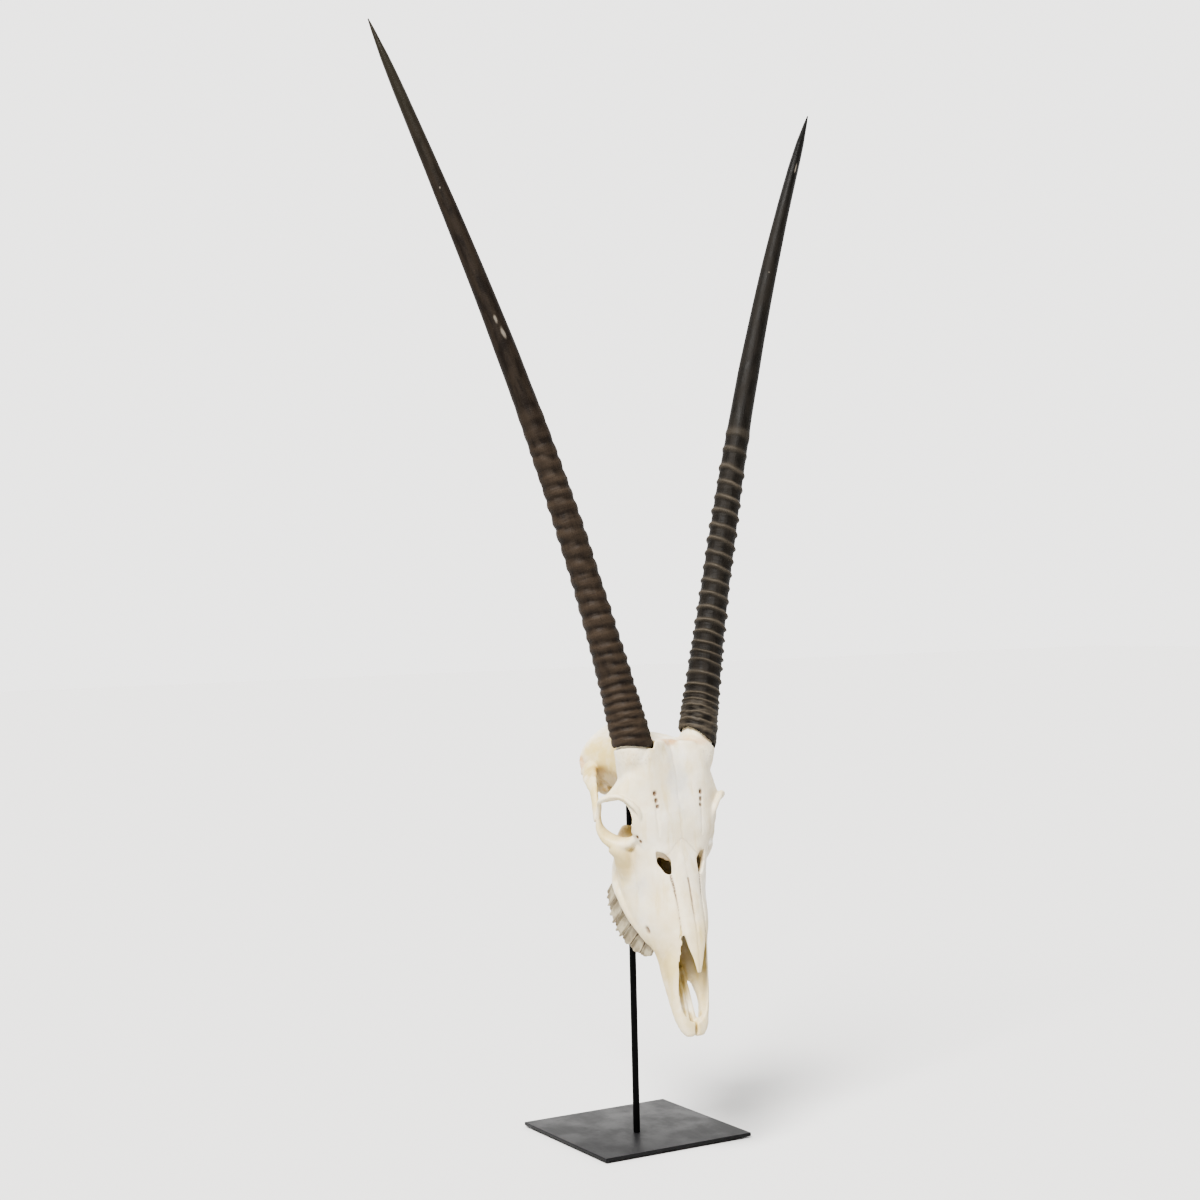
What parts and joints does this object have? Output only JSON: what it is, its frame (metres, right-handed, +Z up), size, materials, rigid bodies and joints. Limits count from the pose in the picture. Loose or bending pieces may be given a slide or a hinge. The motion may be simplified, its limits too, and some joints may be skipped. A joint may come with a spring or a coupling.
{
  "type": "horned skull",
  "caption": "Bleached antelope skull with long ringed horns, held nose down by a slim upright rod on a small square plate.",
  "frame": {"origin": "middle of the outer box on the surface that the stand rests on", "axes": "+Z up along the rod, the forehead faces -Y, the animal's left side is +X"},
  "size_m": [0.639, 0.2798, 1.3305],
  "materials": {
    "bone": "matt, bleached and weathered",
    "horn": "ringed, dull, darker and smoother towards the tips",
    "tooth": "half-gloss",
    "black_steel": "satin black",
    "rubber": "matt"
  },
  "bodies": {
    "root": {"skull": "bone", "horn_right": "horn", "horn_left": "horn", "tooth_right_1": "tooth", "tooth_right_2": "tooth", "tooth_right_3": "tooth", "tooth_right_4": "tooth", "tooth_right_5": "tooth", "tooth_right_6": "tooth", "tooth_left_1": "tooth", "tooth_left_2": "tooth", "tooth_left_3": "tooth", "tooth_left_4": "tooth", "tooth_left_5": "tooth", "tooth_left_6": "tooth", "rod": "black_steel", "base_plate": "black_steel", "pad_1": "rubber", "pad_2": "rubber", "pad_3": "rubber", "pad_4": "rubber"}
  },
  "joints": []
}
